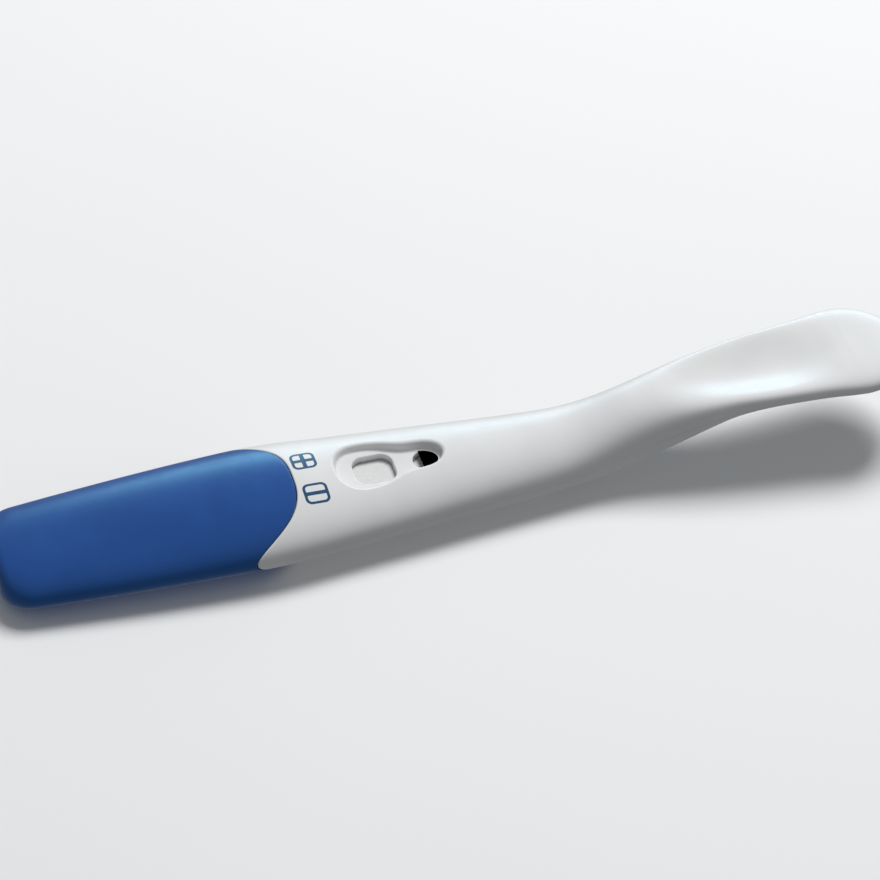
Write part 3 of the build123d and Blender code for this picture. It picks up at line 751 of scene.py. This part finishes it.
white, blue = white_plastic(), blue_plastic()
wick_mat = fibre("bonded_wick_fibre", (0.62, 0.60, 0.56), (0.86, 0.85, 0.81), (0.10, 1, 1), 9000, 0.8)
pad_mat = fibre("absorbent_pad", (0.70, 0.69, 0.66), (0.88, 0.87, 0.84), (1, 1, 1), 5000, 0.5)
conjugate_mat = fibre("label_fibre", (0.30, 0.40, 0.62), (0.62, 0.70, 0.84), (0.3, 1, 1), 6000, 0.5)
card_mat = simple("strip_card", (0.84, 0.84, 0.83), (0.88, 0.88, 0.87), 0.45, 1500)
membrane_mat = simple("porous_membrane", (0.80, 0.80, 0.79), (0.86, 0.86, 0.85), 0.8, 4000, 0.3)
tablet_mat = simple("pressed_tablet", (0.74, 0.71, 0.64), (0.86, 0.84, 0.77), 0.9, 3000, 0.6)
ink_mat = simple("printed_ink", (0.016, 0.075, 0.17), (0.022, 0.095, 0.20), 0.38, 3500, 0.2)
film = Material("clear_film")
film.link(film.span(film.noise(600, 2), 0.24, 0.32), "Roughness")
film.bump(film.noise(500, 2), 0.08, 0.00003)
film.set(Base_Color=(0.93, 0.94, 0.95, 1), Alpha=0.12, IOR=1.45)


def paint(node, material):
    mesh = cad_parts[node].data
    if not mesh.materials:
        mesh.materials.append(material)
    for i in range(len(mesh.materials)):
        mesh.materials[i] = material


for node, material in (("backing_card", card_mat), ("transfer_pad", pad_mat), ("conjugate_pad", conjugate_mat),
                       ("test_membrane", membrane_mat), ("cover_film", film.m), ("sink_pad", pad_mat),
                       ("desiccant_tablet", tablet_mat)):
    paint(node, material)


def finish_piece(obj, material, node=None):
    obj.data.materials.append(material)
    if node:
        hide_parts(node)
    return obj


def true_normals(obj):
    """Exact shading on the pool's floor and on the top around it, where the mesh is cut into triangles."""
    mesh = obj.data
    co = np.zeros(len(mesh.vertices) * 3)
    mesh.vertices.foreach_get("co", co)
    co = co.reshape(-1, 3) / MM
    s, y, z = co[:, 0] + LENGTH / 2, co[:, 1], co[:, 2]
    normals = np.zeros((len(co), 3))
    near = np.where((s > 48) & (s < 73) & (np.abs(y) < 8.6) & (z > 7))[0]
    top = on_top(s[near], y[near])
    hit = near[np.abs(top - z[near]) < 5e-4]
    e = 0.02
    ds = (on_top(s[hit] + e, y[hit]) - on_top(s[hit] - e, y[hit])) / (2 * e)
    dy = (on_top(s[hit], y[hit] + e) - on_top(s[hit], y[hit] - e)) / (2 * e)
    n = np.stack([-ds, -dy, np.ones(len(hit))], 1)
    normals[hit] = n / np.linalg.norm(n, axis=1)[:, None]
    flat = near[np.abs(z[near] - POOL_FLOOR_Z) < 1e-3]
    normals[flat] = (0, 0, 1)
    mesh.normals_split_custom_set_from_vertices(normals.tolist())


upper = finish_piece(casing_shell(True).make("upper_casing_shell", "casing", "white_casing_plastic", split=50), white, "upper_casing")
true_normals(upper)
lower = finish_piece(casing_shell(False).make("lower_casing_shell", "casing", "white_casing_plastic", split=50), white, "lower_casing")
cap = finish_piece(cap_skin().make("cap_shell", "cap", "blue_cap_plastic", split=50), blue, "cap")
wick = finish_piece(wick_skin().make("wick_rod", "casing", "wick_fibre", split=60), wick_mat, "sampler_wick")
plus = finish_piece(sign("plus", 47.85, 3.0, 3.75, 3.75, True).make("plus_sign", "casing", smooth=False), ink_mat)
minus = finish_piece(sign("minus", 48.0, -4.0, 3.75, 3.75, False).make("minus_sign", "casing", smooth=False), ink_mat)

# grip ribs on the nose, two above and two below
for level, is_upper in (("top", True), ("base", False)):
    for side_name, y0 in (("near", -3.4), ("far", 3.4)):
        skin = Skin()
        loop = rounded_box(34.0 - 4.5, 34.0 + 4.5, y0 - 0.45, y0 + 0.45, 0.449, 72)
        o = outward(loop)

        def height(plan, lift):
            lo, hi = np.zeros(len(plan)), np.ones(len(plan))
            for _ in range(40):
                mid = (lo + hi) / 2
                big = section(plan[:, 0], mid, CAP_WALL + CAP_FIT, is_upper)[0] > np.abs(plan[:, 1])
                lo, hi = np.where(big, mid, lo), np.where(big, hi, mid)
            z = section(plan[:, 0], (lo + hi) / 2, CAP_WALL + CAP_FIT, is_upper)[1]
            return z + (lift if is_upper else -lift)

        ring = first = skin.add(lifted(loop, height(loop, -0.08)))
        for a in np.radians(np.linspace(0, 80, 6)):
            at = loop - o * 0.13 * (1 - math.cos(a))
            new = skin.add(lifted(at, height(at, 0.14 * math.sin(a))))
            skin.strip(ring, new)
            ring = new
        everything, faces = fill(at, [], 0.3, 0.1)
        extra = skin.add(lifted(everything[len(at):], height(everything[len(at):], 0.14)))
        skin.tris(np.concatenate([ring, extra])[faces])
        everything, faces = fill(loop, [], 0, 0)
        skin.tris(first[faces])
        finish_piece(skin.make("grip_rib_%s_%s" % (level, side_name), "casing", "white_casing_plastic", split=60), white)

# ---------------------------------------------------------------- floor, light, camera
floor_mesh = bpy.data.meshes.new("studio_floor")
size, steps = 1.6, 24
grid = np.linspace(-size, size, steps + 1)
floor_mesh.from_pydata([(x, y, 0.0) for x in grid for y in grid], [],
                       [(i * (steps + 1) + j, (i + 1) * (steps + 1) + j, (i + 1) * (steps + 1) + j + 1, i * (steps + 1) + j + 1)
                        for i in range(steps) for j in range(steps)])
floor = bpy.data.objects.new("studio_floor", floor_mesh)
bpy.context.scene.collection.objects.link(floor)
f = Material("pale_floor")
f.link(f.ramp(f.noise(6, 2), (0.93, 0.932, 0.934), (0.945, 0.945, 0.945)), "Base Color")
f.set(Roughness=0.9, Specular_IOR_Level=0.1)
floor_mesh.materials.append(f.m)
floor.visible_diffuse = False
floor.visible_glossy = False


def area(name, place, target, w, h, power, colour=(1, 1, 1)):
    light = bpy.data.lights.new(name, "AREA")
    light.shape, light.size, light.size_y, light.energy, light.color = "RECTANGLE", w, h, power, colour
    obj = bpy.data.objects.new(name, light)
    obj.location = place
    obj.rotation_euler = (Vector(target) - Vector(place)).to_track_quat("-Z", "Y").to_euler()
    bpy.context.scene.collection.objects.link(obj)
    return obj


key = area("key_softbox", (0.32, 0.42, 0.90), (0.0, 0.0, 0.0), 0.45, 0.45, 8.8)
key.visible_glossy = False
rim = area("rim_softbox", (0.34, 0.78, 0.26), (0.0, 0.0, 0.01), 0.7, 0.26, 3.4, (0.55, 0.87, 1.0))
rim.visible_diffuse = False

world = bpy.data.worlds.new("studio")
world.use_nodes = True
world.node_tree.nodes["Background"].inputs["Color"].default_value = (0.94, 0.97, 1.0, 1)
world.node_tree.nodes["Background"].inputs["Strength"].default_value = 0.24
scene = bpy.context.scene
scene.world = world
scene.view_settings.view_transform = "Standard"

PHI, TILT, ROLL = 0.3151655, 0.7609365, 0.0291747
FOCAL, CENTRE = 3459.94, (457.35, 461.78)  # in pixels of an 880 by 880 image
DIST, AIM = 0.520, Vector((-0.0002, 0.0, 0.006))
c, s = math.cos(PHI), math.sin(PHI)
look = Vector((s * math.cos(TILT), c * math.cos(TILT), -math.sin(TILT)))
right = Vector((c, -s, 0))
up = Vector((s * math.sin(TILT), c * math.sin(TILT), math.cos(TILT)))
cam_x = right * math.cos(ROLL) + up * math.sin(ROLL)
cam_y = up * math.cos(ROLL) - right * math.sin(ROLL)
lens = bpy.data.cameras.new("photo_camera")
lens.sensor_fit, lens.sensor_width = "HORIZONTAL", 36.0
lens.lens = 36.0 * FOCAL / 880
lens.shift_x, lens.shift_y = 0.5 - CENTRE[0] / 880, CENTRE[1] / 880 - 0.5
lens.clip_start, lens.clip_end = 0.01, 20
camera = bpy.data.objects.new("photo_camera", lens)
place = AIM - look * DIST
camera.matrix_world = Matrix((
    (cam_x.x, cam_y.x, -look.x, place.x), (cam_x.y, cam_y.y, -look.y, place.y),
    (cam_x.z, cam_y.z, -look.z, place.z), (0, 0, 0, 1)))
scene.collection.objects.link(camera)
scene.camera = camera

bpy.context.view_layer.update()
